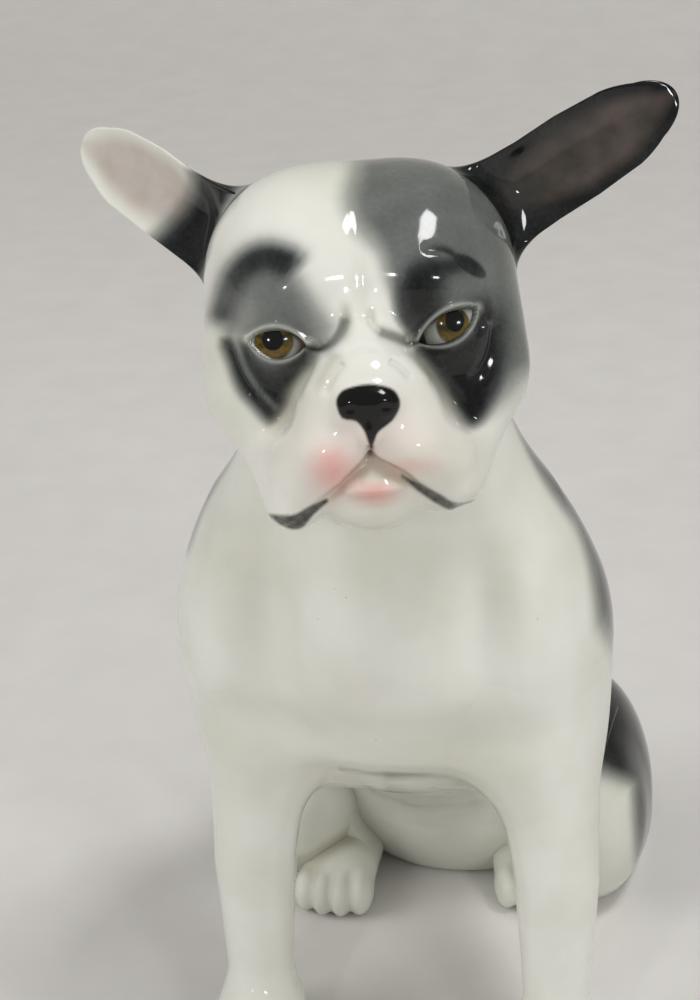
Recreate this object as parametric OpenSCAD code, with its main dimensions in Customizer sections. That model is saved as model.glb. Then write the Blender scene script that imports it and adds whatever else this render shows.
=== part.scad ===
// Seated porcelain bulldog: nine slip-cast pieces, joined by thin layers of slip before firing.
// Millimetres, +Z up. The dog faces -Y, so its own left side is +X.
// The origin lies on the table, at the middle of the seat's flat underside.

/* [Casting] */
// Thickness of the hollow castings' wall
wall = 3.6; // [3:0.1:4.4]
// Thickness of the slip between two castings
slip = 0.4; // [0.3:0.1:0.8]
// Diameter of the firing vent in the seat
vent_d = 6; // [4:0.5:9]

/* [Trunk] */
// Height of the trunk and its neck
trunk_h = 146; // [138:1:152]
// Width across the shoulders
chest_w = 77; // [73:1:81]
// Depth from the chest to the rump
trunk_d = 100; // [96:1:104]

/* [Head] */
// Width across the cheeks
head_w = 54; // [50:1:58]
// Height from the jaw to the crown
head_h = 58; // [55:1:61]
// How far the muzzle stands out of the skull
muzzle = 12.5; // [9:0.5:15]
// Turn of the head towards the dog's left
head_yaw = 13; // [0:1:20]
// How far the face is lifted
head_lift = 14; // [5:1:20]
// Lean of the crown towards the dog's right
head_lean = 1.5; // [0:0.5:6]

/* [Ears] */
// Length of the left ear from the skull to its tip
ear_l = 37.2; // [32:0.1:41]
// Widest width of an ear
ear_w = 19; // [16:0.5:21]
// Thickness of an ear's leaf
ear_t = 4.2; // [3.4:0.2:5]

/* [Legs] */
// Distance between the two forelegs' middles
stance = 58; // [54:1:62]
// Width of a foreleg above the paw
foreleg_w = 14; // [12:0.5:16]
// Length of a front paw
paw_l = 25; // [21:1:28]
// How far the right hind paw stands from the middle
hind_paw_right = 21.5; // [19:0.5:24]
// How far the left hind paw, which is drawn in, stands from the middle
hind_paw_left = 14; // [12:0.5:17]
// Width across the two haunches
haunch_w = 86; // [82:1:90]

/* [Tail] */
// Length of the stub of a tail
tail_l = 13; // [9:1:16]

/* [Hidden] */
ring_n = 36;           // points round a ring of the large castings
limb_n = 24;           // points round a ring of an ear, a leg or the tail
glaze_white = "#eeeee8";
glaze_grey = "#6e7273";
slip_white = "#f7f5ee";
left = 1;              // the dog's own left is +X
right = -1;
beyond = 200;          // larger than the whole figure
head_at = [3, -79, 151.5];
legs_mid = 3;          // the forelegs stand a little to the dog's left
foreleg_y = -66;
hind_y = -2;
paw_back = 8;          // the left hind paw stands this much farther back
paw_turn = 15;         // and points this much outwards
vent_y = 6;            // behind the seat's middle

// Trunk sections from the seat to the nape: the front point's y and z, the back point's y and z
// as shares of trunk_d and trunk_h, and the width as a share of chest_w.
trunk_rows = [
    [-0.13, 0.00,  0.13, 0.00, 0.62],
    [-0.14, 0.07,  0.16, 0.06, 0.76],
    [-0.17, 0.15,  0.17, 0.17, 0.83],
    [-0.27, 0.27,  0.14, 0.31, 0.88],
    [-0.45, 0.37,  0.06, 0.46, 0.97],
    [-0.65, 0.46, -0.05, 0.61, 1.01],
    [-0.79, 0.56, -0.18, 0.73, 1.00],
    [-0.83, 0.67, -0.29, 0.82, 0.94],
    [-0.83, 0.77, -0.39, 0.90, 0.80],
    [-0.82, 0.85, -0.46, 0.97, 0.66],
    [-0.81, 0.90, -0.53, 1.02, 0.52],
    [-0.80, 0.95, -0.60, 1.04, 0.38]];

// Head sections from the jaw to the crown: height, half width, front and back depth as shares
// of the head's half size, and the muzzle's share.
head_rows = [
    [-1.00, 0.36, 0.34, 0.10, 0.55],
    [-0.95, 0.52, 0.48, 0.24, 0.82],
    [-0.84, 0.65, 0.58, 0.40, 0.98],
    [-0.66, 0.75, 0.63, 0.62, 1.00],
    [-0.42, 0.87, 0.66, 0.80, 0.94],
    [-0.18, 0.97, 0.69, 0.94, 0.72],
    [ 0.02, 1.00, 0.70, 1.00, 0.30],
    [ 0.25, 0.98, 0.78, 1.02, 0.05],
    [ 0.52, 0.90, 0.70, 0.94, 0.00],
    [ 0.78, 0.70, 0.52, 0.72, 0.00],
    [ 0.94, 0.40, 0.28, 0.40, 0.00],
    [ 1.00, 0.14, 0.09, 0.13, 0.00]];

// Foreleg sections from the sole up into the shoulder: height, inward shift, forward shift,
// half width as a share of foreleg_w, half depth as a share of paw_l.
foreleg_rows = [
    [ 0, 0.0,  4.0, 0.56, 0.42],
    [ 3, 0.0,  4.4, 0.62, 0.49],
    [ 7, 0.0,  3.4, 0.59, 0.45],
    [12, 0.0,  1.2, 0.51, 0.35],
    [18, 0.0,  0.0, 0.48, 0.30],
    [32, 0.0, -1.0, 0.53, 0.32],
    [48, 0.2, -2.0, 0.60, 0.42],
    [64, 0.8, -4.0, 0.70, 0.58],
    [80, 2.5, -6.0, 0.74, 0.66],
    [94, 7.0, -8.0, 0.55, 0.55]];

// Haunch sections from the rump forwards: y from the haunch's middle, height of the middle,
// outward shift, half width, half height.
haunch_rows = [
    [ 24, 15, -3.0,  5.0,  8.0],
    [ 20, 16, -0.5,  9.5, 14.0],
    [ 10, 19,  1.0, 13.0, 21.0],
    [  0, 22,  2.0, 13.0, 24.0],
    [-10, 22,  1.5, 11.5, 21.0],
    [-17, 21,  0.5,  8.5, 15.0],
    [-21, 20, -0.5,  4.5,  8.0]];

// Hind paw sections from the heel to the toes: y from where the paw turns, height of the middle,
// half width, half height.
hind_paw_rows = [
    [  4, 7.0, 5.0, 5.0],
    [ -4, 7.5, 6.5, 7.5],
    [-16, 6.5, 7.0, 6.5],
    [-24, 6.0, 7.6, 6.0],
    [-29, 4.5, 6.0, 4.4],
    [-31, 4.0, 3.0, 2.4]];

// Ear sections from the root to the tip: share of the length, of the width and of the dish.
ear_rows = [
    [-0.28, 0.86, 0.50],
    [ 0.00, 1.00, 0.95],
    [ 0.25, 0.97, 1.00],
    [ 0.50, 0.86, 0.80],
    [ 0.75, 0.66, 0.50],
    [ 0.92, 0.40, 0.20],
    [ 1.00, 0.14, 0.00]];
ear_root_x = 0.74;     // share of the head's half width
ear_root_z = 0.62;     // share of the head's half height
ear_short = 0.9;       // the right ear's length as a share of the left one's
ear_rise_left = 28;    // degrees of the ear's line above the level, seen from the front
ear_rise_right = 29;
ear_back_left = 4;     // degrees that the tip leans back
ear_back_right = 38;
ear_dish = 4.5;        // how far the leaf's middle lies behind its rims

// Row i of a table, held at the ends.
function row_at(rows, i) = rows[max(0, min(len(rows) - 1, i))];

// Catmull-Rom blend of four rows at f from 0 to 1.
function blend4(a, b, c, d, f) =
    let (ramp = c - a, bow = 2 * a - 5 * b + 4 * c - d, bend = 3 * b - a - 3 * c + d)
    0.5 * (2 * b + ramp * f + bow * f * f + bend * f * f * f);

// A table with k rows for every one, on a smooth curve through them.
function refine(rows, k) = [
    for (i = [0 : len(rows) - 2], j = [0 : k - 1])
        blend4(row_at(rows, i - 1), rows[i], rows[i + 1], row_at(rows, i + 2), j / k),
    rows[len(rows) - 1]];

// Skins a list of rings and closes both ends. The rings have the same number of points, and run
// anticlockwise as seen from where the list leads.
module loft(rings) {
    n = len(rings[0]);
    m = len(rings);
    polyhedron(
        points = [for (ring = rings) each ring],
        faces = concat(
            [[for (j = [0 : n - 1]) j]],
            [for (i = [0 : m - 2], j = [0 : n - 1])
                [i * n + j, (i + 1) * n + j, (i + 1) * n + (j + 1) % n, i * n + (j + 1) % n]],
            [[for (j = [0 : n - 1]) m * n - 1 - j]]),
        convexity = 4);
}

// Takes free-form children as one mesh.
module one_mesh() {
    resize([0, 0, 0]) children();
}

// Everything below a height, down to the table and beyond.
module below(z) {
    translate([-beyond / 2, -beyond / 2, z - beyond]) cube(beyond);
}

// One ring of the trunk: an ellipse on the line from the front point to the back point.
function trunk_ring(row, grow) =
    let (front = [0, row[0] * trunk_d, row[1] * trunk_h],
         back = [0, row[2] * trunk_d, row[3] * trunk_h],
         middle = (front + back) / 2,
         reach = norm(back - front) / 2,
         across = (back - front) / (2 * reach))
    [for (j = [0 : ring_n - 1])
        let (t = 360 * j / ring_n)
        middle + [(row[4] * chest_w / 2 + grow) * sin(t), 0, 0] - across * (reach + grow) * cos(t)];

// The trunk's outer form, grown by a distance, or its cavity where that is minus the wall.
module trunk_form(grow = 0) {
    difference() {
        loft([for (row = refine(trunk_rows, 2)) trunk_ring(row, grow)]);
        if (grow < 0) below(-grow);
    }
}

// One ring of the head: an ellipse with the muzzle pushed out of its front.
function head_ring(row, grow) =
    let (half = head_w / 2,
         wide = row[1] * half + grow,
         front = row[2] * half + grow,
         back = row[3] * half + grow,
         z = row[0] * (head_h / 2 + grow))
    [for (j = [0 : ring_n - 1])
        let (t = 360 * j / ring_n, c = cos(t))
        [wide * sin(t), -(c > 0 ? front : back) * c - row[4] * muzzle * pow(max(0, c), 3), z]];

module head_pose() {
    translate(head_at) rotate([0, 0, head_yaw]) rotate([-head_lift, 0, 0]) rotate([0, -head_lean, 0]) children();
}

module head_form(grow = 0) {
    head_pose() loft([for (row = refine(head_rows, 2)) head_ring(row, grow)]);
}

// One ring of a limb in the XY plane, round a middle.
function flat_ring(middle, half_x, half_y) = [
    for (j = [0 : limb_n - 1])
        let (t = 360 * j / limb_n)
        middle + [half_x * cos(t), half_y * sin(t), 0]];

// One ring across a limb that runs along -Y.
function upright_ring(middle, half_x, half_z) = [
    for (j = [0 : limb_n - 1])
        let (t = 360 * j / limb_n)
        middle + [half_x * cos(t), 0, half_z * sin(t)]];

module foreleg_form(side) {
    foot_x = legs_mid + side * stance / 2;
    loft([for (row = refine(foreleg_rows, 2))
        flat_ring([foot_x - side * row[1], foreleg_y - row[2], row[0]], row[3] * foreleg_w, row[4] * paw_l)]);
}

module hind_leg_form(side) {
    haunch_x = haunch_w / 2 - 15;
    paw_at = side == left ? [hind_paw_left, hind_y + paw_back, 0] : [-hind_paw_right, hind_y, 0];
    difference() {
        union() {
            loft([for (row = refine(haunch_rows, 2))
                upright_ring([side * (haunch_x + row[2]), hind_y + row[0], row[1]], row[3], row[4])]);
            translate(paw_at)
                rotate([0, 0, side == left ? paw_turn : 0])
                    loft([for (row = refine(hind_paw_rows, 2))
                        upright_ring([0, row[0], row[1]], row[2], row[3])]);
        }
        below(0);
    }
}

// A short tail that curls to the dog's left.
module tail_form() {
    start = [0, trunk_d * 0.15, trunk_h * 0.15];
    loft([for (i = [0 : 8])
        let (f = 1 - i / 8, bend = 100 * f, r = 5.2 - 3 * f)
        upright_ring(start + [4 * (1 - cos(bend)), tail_l * f, -7 * sin(bend) * f], r, r)]);
}

// One ring of an ear: a thin leaf whose two rims bend forwards round its dished inside.
function ear_ring(row, length) =
    [for (j = [0 : limb_n - 1])
        let (t = 360 * j / limb_n, w = row[1] * ear_w / 2 * cos(t))
        [row[0] * length,
         -ear_t / 2 * sin(t) * (0.45 + 0.55 * row[1]) + ear_dish * row[2] * (0.5 - pow(cos(t), 2)),
         w]];

module ear_form(side) {
    rise = side == left ? ear_rise_left : ear_rise_right;
    lean = side == left ? ear_back_left : ear_back_right;
    length = side == left ? ear_l : ear_l * ear_short;
    head_pose()
        translate([side * ear_root_x * head_w / 2, 2, ear_root_z * head_h / 2])
            mirror([side == left ? 0 : 1, 0, 0])
                rotate([0, 0, lean]) rotate([0, -rise, 0])
                    loft([for (row = refine(ear_rows, 3)) ear_ring(row, length)]);
}

module trunk() {
    color(glaze_white) one_mesh() difference() {
        trunk_form();
        trunk_form(-wall);
        head_form(slip);
        translate([0, vent_y, -1]) cylinder(d = vent_d, h = 2 * wall + 2, $fn = 32);
    }
}

module head() {
    color(glaze_white) one_mesh() difference() {
        head_form();
        head_form(-wall);
        trunk_form(-wall - 1);
    }
}

module ear(side) {
    color(glaze_grey) one_mesh() difference() {
        ear_form(side);
        head_form(slip);
    }
}

module foreleg(side) {
    color(glaze_white) one_mesh() difference() {
        foreleg_form(side);
        trunk_form(slip);
    }
}

module hind_leg(side) {
    color(glaze_white) one_mesh() difference() {
        hind_leg_form(side);
        trunk_form(slip);
    }
}

module tail() {
    color(glaze_grey) one_mesh() difference() {
        tail_form();
        trunk_form(slip);
    }
}

module neck_slip() {
    color(slip_white) one_mesh() difference() {
        intersection() {
            trunk_form();
            head_form(slip);
        }
        head_form();
        trunk_form(-wall);
    }
}

module ear_slip(side) {
    color(slip_white) one_mesh() difference() {
        intersection() {
            ear_form(side);
            head_form(slip);
        }
        head_form();
    }
}

// The slip on the trunk's skin under a limb.
module limb_slip() {
    color(slip_white) one_mesh() difference() {
        intersection() {
            children();
            trunk_form(slip);
        }
        trunk_form();
    }
}

trunk();
head();
ear(left);  // ear_left
ear(right);  // ear_right
foreleg(left);  // foreleg_left
foreleg(right);  // foreleg_right
hind_leg(left);  // hind_leg_left
hind_leg(right);  // hind_leg_right
tail();
neck_slip();
ear_slip(left);  // ear_left_slip
ear_slip(right);  // ear_right_slip
limb_slip() foreleg_form(left);  // foreleg_left_slip
limb_slip() foreleg_form(right);  // foreleg_right_slip
limb_slip() hind_leg_form(left);  // hind_leg_left_slip
limb_slip() hind_leg_form(right);  // hind_leg_right_slip
limb_slip() tail_form();  // tail_slip
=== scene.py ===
"""Seated porcelain bulldog: the glazed and painted surfaces that stand for its castings.

Every surface comes from a form: a function that gives the signed distance from a point to the clay,
in millimetres. Rays from a centre or from a limb's middle line find where they leave the form.
"""
import math
from functools import partial

import bpy
import mathutils
import numpy as np
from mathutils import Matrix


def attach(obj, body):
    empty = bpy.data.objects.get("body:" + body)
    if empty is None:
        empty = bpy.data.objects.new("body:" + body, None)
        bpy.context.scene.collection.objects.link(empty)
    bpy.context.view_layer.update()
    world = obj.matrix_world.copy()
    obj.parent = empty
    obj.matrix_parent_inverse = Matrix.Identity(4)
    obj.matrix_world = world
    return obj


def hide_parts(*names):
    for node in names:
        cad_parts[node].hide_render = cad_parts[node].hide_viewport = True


bl_info = {
    "name": "Porcelain bulldog",
    "version": (1, 0, 0),
    "blender": (4, 5, 0),
    "location": "3D View > Sidebar > Figurine",
    "description": "Builds a seated, glazed and painted porcelain bulldog round its cast parts",
    "category": "Add Mesh",
}

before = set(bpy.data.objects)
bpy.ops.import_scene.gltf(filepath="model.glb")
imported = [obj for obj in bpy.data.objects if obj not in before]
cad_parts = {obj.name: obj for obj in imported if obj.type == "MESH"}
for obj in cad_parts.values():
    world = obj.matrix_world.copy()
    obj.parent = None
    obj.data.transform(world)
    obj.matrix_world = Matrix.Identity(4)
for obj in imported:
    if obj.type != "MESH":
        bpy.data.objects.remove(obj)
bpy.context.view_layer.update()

MM = 0.001
TURN = 2 * math.pi
LEFT, RIGHT = 1, -1            # the dog's own left is +X
SIDES = ((LEFT, "left"), (RIGHT, "right"))
BURIED = 0.03                  # a slip's edge lies this far under the clay it meets, mm


# ---------------------------------------------------------------- small tools

def unit(v):
    """Vectors of length one."""
    return v / np.maximum(np.linalg.norm(v, axis=-1, keepdims=True), 1e-9)


def smooth(x, low, high):
    """0 below low, 1 above high, and an S-curve between them. low may lie above high."""
    t = np.clip((x - low) / (high - low), 0, 1)
    return t * t * (3 - 2 * t)


def bell(x, width):
    """A bump of height one: e to the minus (x / width) squared."""
    return np.exp(-(x / width) ** 2)


def spin(axis, degrees):
    """Rotation matrix about a main axis, 0 to 2 for X to Z."""
    c, s = math.cos(math.radians(degrees)), math.sin(math.radians(degrees))
    i, j = [(1, 2), (2, 0), (0, 1)][axis]
    m = np.eye(3)
    m[i, i], m[i, j], m[j, i], m[j, j] = c, -s, s, c
    return m


def catmull(a, b, c, d, f):
    """The Catmull-Rom cubic from b to c, with a before them and d after, at a share f."""
    return 0.5 * (2 * b + (c - a) * f + (2 * a - 5 * b + 4 * c - d) * f ** 2
                  + (3 * b - a - 3 * c + d) * f ** 3)


def curve(points, count):
    """A Catmull-Rom curve through a few points, as count points."""
    p = np.asarray(points, float)
    p = np.vstack([2 * p[0] - p[1], p, 2 * p[-1] - p[-2]])
    s = np.linspace(0, len(p) - 3 - 1e-9, count)
    i = s.astype(int)
    return catmull(p[i], p[i + 1], p[i + 2], p[i + 3], (s - i)[:, None])


def to_segment(x, z, a, b):
    """Distance in a plane to the segment from a to b, and the nearest point's share of its length."""
    ab = b - a
    f = np.clip(((x - a[0]) * ab[0] + (z - a[1]) * ab[1]) / (ab @ ab), 0, 1)
    return np.hypot(x - a[0] - f * ab[0], z - a[1] - f * ab[1]), f


def to_line(x, z, points, steps=14):
    """Distance in a plane to a smooth line, and how far along it the nearest point is."""
    line = curve(points, steps)
    best = np.full(np.shape(x), 1e9)
    where = np.zeros(np.shape(x))
    for k in range(steps - 1):
        d, f = to_segment(x, z, line[k], line[k + 1])
        near = d < best
        best = np.where(near, d, best)
        where = np.where(near, (k + f) / (steps - 1), where)
    return best, where


def in_outline(x, z, points):
    """Signed distance in a plane to an outline rounded through its points, negative inside it."""
    p = np.asarray(points, float)
    f = np.array([0, 1 / 3, 2 / 3])[:, None, None]
    p = catmull(np.roll(p, 1, 0), p, np.roll(p, -1, 0), np.roll(p, -2, 0), f)
    p = p.transpose(1, 0, 2).reshape(-1, 2)
    best = np.full(np.shape(x), 1e9)
    inside = np.zeros(np.shape(x), bool)
    for a, b in zip(p, np.roll(p, -1, axis=0)):
        best = np.minimum(best, to_segment(x, z, a, b)[0])
        drop = b[1] - a[1] if abs(b[1] - a[1]) > 1e-9 else 1e-9
        crosses = (a[1] > z) != (b[1] > z)
        inside ^= crosses & (x < a[0] + (z - a[1]) * (b[0] - a[0]) / drop)
    return np.where(inside, -best, best)


# ---------------------------------------------------------------- forms

def ball(p, centre, radii, turn=None):
    """Distance to an ellipsoid: k (k - 1) / m, where k and m are |p / r| and |p / r squared|."""
    q = p - np.asarray(centre, float)
    if turn is not None:
        q = q @ turn
    q = q / np.asarray(radii, float)
    k = np.linalg.norm(q, axis=-1)
    m = np.linalg.norm(q / np.asarray(radii, float), axis=-1)
    return k * (k - 1) / np.maximum(m, 1e-9)


def cone(p, a, b, ra, rb, wide=1.0):
    """Distance to a limb with round ends that tapers from ra to rb; wide stretches it along X."""
    stretch = np.array([wide, 1.0, 1.0])
    a, b, q = np.asarray(a, float) / stretch, np.asarray(b, float) / stretch, p / stretch
    ab = b - a
    f = np.clip(((q - a) @ ab) / (ab @ ab), 0, 1)
    return np.linalg.norm(q - a - f[..., None] * ab, axis=-1) - (ra + (rb - ra) * f)


def weld(first, second, reach):
    """Smooth union: the lower of two distances, lowered further where they are within reach."""
    h = np.maximum(reach - np.abs(first - second), 0) / reach
    return np.minimum(first, second) - h * h * reach / 4


def weld_all(distances, reach):
    """Smooth union of a list of distances."""
    out = distances[0]
    for d in distances[1:]:
        out = weld(out, d, reach)
    return out


def carve(first, second, reach):
    """Smooth intersection of two forms."""
    return -weld(-first, -second, reach)


# ---------------------------------------------------------------- the head

HEAD_AT = np.array([3.0, -79.0, 151.5])
HEAD_TURN = spin(2, 13) @ spin(0, -14) @ spin(1, -1.5)
FACE_MID = 0.5                 # the face's own middle line lies this much to the dog's left
EYE_PLANE = -19.0              # the face is laid out on a plane through the eyes
EYES = {
    # middle of the lids, half length, height above and below, tilt, eyeball's middle, iris and pupil
    RIGHT: dict(at=(-12.75, 2.7), half=4.5, up=1.95, down=2.75, tilt=-11, ball=(-12.9, -13.2, 2.3),
                iris=(-13.2, 2.9, 2.95, 2.9), pupil=(-13.3, 3.15, 1.65, 1.75)),
    LEFT: dict(at=(13.65, 3.5), half=5.2, up=1.75, down=2.75, tilt=27.5, ball=(14.0, -13.2, 2.9),
               iris=(14.4, 3.4, 2.5, 2.9), pupil=(14.7, 4.0, 1.45, 1.75)),
}
EYE_R = 6.0                    # the lids' inner side is modelled on a ball half a millimetre larger


def to_head(p):
    """From the world to the head's axes."""
    return (p - HEAD_AT) @ HEAD_TURN


def from_head(q):
    """From the head's axes to the world."""
    return q @ HEAD_TURN.T + HEAD_AT


def on_face(q):
    """Where a point falls on the plane through the eyes, slid along a line that dips 11 degrees."""
    ahead = q[..., 1] - EYE_PLANE
    return q[..., 0] + 0.021 * ahead, q[..., 2] + 0.194 * ahead


def head_form(p):
    """Skull, brows, cheeks, muzzle, lips, jaw and nose, welded in the head's own axes."""
    q = to_head(p)
    q = q - np.array([FACE_MID, 0, 0])
    skull = ball(q, (0, 3.5, 5.0), (24.3, 23.0, 22.4))
    parts = [skull]
    for s in (LEFT, RIGHT):
        parts.append(ball(q, (s * 9.0, -2.0, 12.6), (14.6, 17.0, 14.8)))
        parts.append(ball(q, (s * 16.8, -4.0, -3.6), (8.6, 11.6, 10.4)))
    head = weld_all(parts, 7)
    for s in (LEFT, RIGHT):
        head = weld(head, ball(q, (s * 10.0, -15.2, 10.4), (7.5, 5.4, 4.6), spin(1, s * 18)), 5)
    jaw = [cone(q, (s * 16.4, -6.0, -7.0), (s * 12.2, -13.0, -19.2), 8.0, 6.2) for s in (LEFT, RIGHT)]
    chin = ball(q, (0, -18.6, -21.2), (8.4, 9.0, 6.6))
    head = weld(head, weld_all(jaw + [chin], 3.5), 5)
    muzzle = ball(q, (0, -19.5, -8.0), (11.5, 11.5, 9.0))
    bridge = cone(q, (0, -17.5, 2.0), (0, -24.0, -3.5), 5.0, 6.0)
    head = weld(head, weld(muzzle, bridge, 5), 5)
    for s in (LEFT, RIGHT):
        flew = ball(q, (s * 5.9, -21.5, -13.4), (8.4, 9.4, 6.4), spin(1, s * 32))
        flew = weld(flew, ball(q, (s * 10.9, -16.4, -18.8), (5.4, 8.6, 6.8), spin(1, s * 20)), 5)
        head = weld(head, flew, 2.6)
    head = weld(head, ball(q, (RIGHT * 13.0, -16.0, -23.2), (4.0, 7.5, 4.3), spin(1, -12)), 2.4)
    head = weld(head, ball(q, (LEFT * 12.2, -16.0, -21.6), (4.2, 7.5, 3.8), spin(1, 12)), 2.4)
    head = weld(head, ball(q, (0.0, -26.6, -19.4), (4.6, 3.0, 1.8)), 1.2)
    nose = weld_all([
        ball(q, (0, -29.0, -5.6), (4.6, 3.6, 3.1)),
        ball(q, (LEFT * 2.5, -29.6, -6.4), (2.5, 2.9, 2.6)),
        ball(q, (RIGHT * 2.5, -29.6, -6.4), (2.5, 2.9, 2.6)),
        ball(q, (0, -29.6, -9.4), (1.8, 2.3, 3.1))], 1.4)
    head = weld(head, nose, 0.9)
    for side, eye in EYES.items():
        socket = ball(q + np.array([FACE_MID, 0, 0]), eye["ball"], (EYE_R + 0.5,) * 3)
        head = weld(head, socket, 2.2)
    return head


# Creases on the face, laid out on its plane: points, depth (a ridge is minus), width.
FACE_LINES = [
    ([(1.2, 26), (0.9, 14.3), (0.6, 9), (0.1, 2)], 0.5, 1.5),
    ([(-8.0, 1.8), (-5.7, 1.2), (-3.6, 2.3), (-2.1, 4.7), (-1.8, 7.5)], 0.75, 0.8),
    ([(8.6, 1.1), (6.0, 1.7), (3.5, 2.6), (2.0, 4.4), (1.9, 7.5)], 0.75, 0.8),
    ([(-7.4, 0.6), (-9.4, -3.0), (-11.8, -6.4), (-14.0, -9.6), (-15.5, -12.5)], 1.2, 1.3),
    ([(8.6, 0.6), (11.0, -3.2), (13.5, -7.4), (15.4, -10.8), (17.0, -13.5)], 1.2, 1.3),
    ([(-19.2, 3.7), (-17.8, -1.2), (-15.7, -4.9), (-13.9, -7.2)], -0.5, 0.65),
    ([(-20.4, 3.6), (-19.2, -1.6), (-16.6, -6.2)], 0.5, 0.8),
    ([(19.6, 4.2), (18.7, -0.6), (16.4, -4.6)], -0.5, 0.5),
    ([(21.2, 4.2), (20.2, -1.2), (17.6, -6.0)], 0.5, 0.8),
    ([(9.9, 15.3), (13.6, 15.0), (15.7, 13.6), (18.6, 11.0)], 0.5, 0.7),
    ([(-16.0, 13.2), (-12.6, 13.8), (-9.8, 12.6)], 0.35, 0.9),
    ([(0.3, -14.6), (0.2, -17.4)], 0.75, 0.55),
    ([(-2.6, -1.7), (-4.4, -3.7), (-6.3, -6.9)], 0.6, 0.6),
    ([(-5.6, 0.0), (-7.2, -2.6), (-9.4, -6.6)], -0.5, 0.8),
    ([(3.9, -1.9), (5.6, -3.1), (7.5, -5.4)], 0.7, 0.6),
    ([(5.8, -0.6), (8.0, -2.6), (10.4, -6.0)], -0.5, 0.8),
    ([(-2.6, -0.4), (0.4, 0.5), (3.2, -0.4)], 0.3, 0.6),
]
# The edges of the upper lips, which hang over the lower jaw.
LIPS = {
    LEFT: [(0.3, -17.0), (2.7, -18.4), (5.1, -19.8), (7.4, -21.7), (10.1, -23.6), (13.0, -25.2),
           (16.9, -25.0)],
    RIGHT: [(0.1, -17.0), (-1.8, -18.7), (-4.0, -20.6), (-7.1, -22.6), (-9.9, -24.2), (-12.6, -26.4),
            (-16.0, -26.6)],
}


def eye_gap(x, z, eye):
    """Signed distance, about, to the almond between the lids, negative inside it."""
    c, s = math.cos(math.radians(eye["tilt"])), math.sin(math.radians(eye["tilt"]))
    dx, dz = x - eye["at"][0], z - eye["at"][1]
    a, b = (dx * c + dz * s) / eye["half"], -dx * s + dz * c
    arch = np.maximum(1 - a * a, 0) ** 0.85
    over = np.where(b > 0, b - eye["up"] * arch, -b - eye["down"] * arch)
    return np.where(np.abs(a) < 1, over, np.hypot((np.abs(a) - 1) * eye["half"], b))


def face_detail(p):
    """Height of the modelled details above the plain head, in millimetres."""
    q = to_head(p)
    x, z = on_face(q)
    front = smooth(q[..., 1], -3, -9)
    out = np.zeros(x.shape)
    for points, depth, width in FACE_LINES:
        d, f = to_line(x, z, points)
        out -= depth * bell(d, width) * smooth(f, 0, 0.15) * smooth(f, 1, 0.8)
    for points in LIPS.values():
        d, f = to_line(x, z, points)
        out -= (1.3 - 0.9 * smooth(f, 0.25, 0.6)) * bell(d, 0.7) * smooth(f, 1, 0.9)
    out += 0.9 * bell(np.hypot((x - 0.3) / 1.5, (z + 18.9) / 0.8), 1.0)
    out += 1.0 * bell(np.hypot((x - 0.5) / 4.4, (z + 20.5) / 1.25), 1.0)
    out -= 0.6 * bell(np.hypot((x - 0.5) / 4.6, (z + 23.6) / 1.1), 1.0)
    for s in (LEFT, RIGHT):
        out -= 0.35 * bell(np.hypot((x - 0.4 - s * 2.7) / 1.3, (z + 9.3) / 0.8), 0.9)
    for eye in EYES.values():
        gap = eye_gap(x, z, eye)
        out -= 2.6 * smooth(gap, 0.1, -0.4)
        out += 0.2 * bell(gap - 0.4, 0.4)
        out -= 0.35 * bell(gap - 1.7, 0.7)
    return out * front


# ---------------------------------------------------------------- the ears

EAR_ROOT = np.array([0.74 * 27, 2.0, 0.62 * 29])
EARS = {LEFT: dict(rise=28, back=4, length=37.2, width=18.6),
        RIGHT: dict(rise=29, back=38, length=33.5, width=18.6)}
EAR_THICK = 4.2
EAR_DISH = 4.6
EAR_ROUND = 0.74               # the outline's round tip starts at this share of the length


def ear_turn(side):
    """Turn from the ear's axes (out along the ear, back, up across it) to the head's."""
    ear = EARS[side]
    return np.diag([side, 1, 1]) @ spin(2, ear["back"]) @ spin(1, -ear["rise"])


def from_ear(e, side):
    """From an ear's axes to the world."""
    return from_head(e @ ear_turn(side).T + EAR_ROOT * [side, 1, 1])


def to_ear(p, side):
    """From the world to an ear's axes."""
    return (to_head(p) - EAR_ROOT * [side, 1, 1]) @ ear_turn(side)


def ear_half_width(f):
    """Half width of an ear at a share f of its length: nearly even, with a round tip."""
    taper = np.interp(f, [-0.4, 0.0, 0.15, 0.3, 0.5, 0.72, 0.86], [0.9, 0.86, 0.8, 0.77, 0.78, 0.72, 0.6])
    tip = np.sqrt(np.clip(1 - (np.maximum(f - EAR_ROUND, 0) / (1 - EAR_ROUND)) ** 2, 0.0, 1))
    return taper * tip / 2


def ear_middle(f, w):
    """How far back the middle of the leaf lies: a dish between two rims, closing at the tip."""
    dish = EAR_DISH * np.interp(f, [-0.4, 0.0, 0.3, 0.7, 1.0], [0.4, 0.85, 1.0, 0.6, 0.0])
    return dish * (0.45 - w ** 2) - 2.2 * smooth(f, 0.45, 1.1)


def ear_thickness(f):
    """Half the leaf's thickness, thinning towards the tip."""
    end = np.sqrt(np.clip(1 - (np.maximum(f - 0.94, 0) / 0.06) ** 2, 0, 1))
    return EAR_THICK / 2 * end * (1 - 0.35 * smooth(f, 0, 0.9))


def ear_rim(w):
    """The rim is a little thicker than the hollow."""
    return 0.62 + 0.38 * w ** 4


def ear_point(side, f, t, thin=1.0, narrow=1.0):
    """The leaf: at a share f of its length, a thin closed ring in t bent round the dish. thin shrinks
    the ring's thickness and narrow its width."""
    w = narrow * np.cos(t)
    out = f * EARS[side]["length"]
    back = ear_middle(f, w) + thin * ear_thickness(f) * ear_rim(w) * np.sin(t)
    across = EARS[side]["width"] * ear_half_width(f) * w
    return from_ear(np.stack(np.broadcast_arrays(out, back, across), axis=-1), side)


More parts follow.
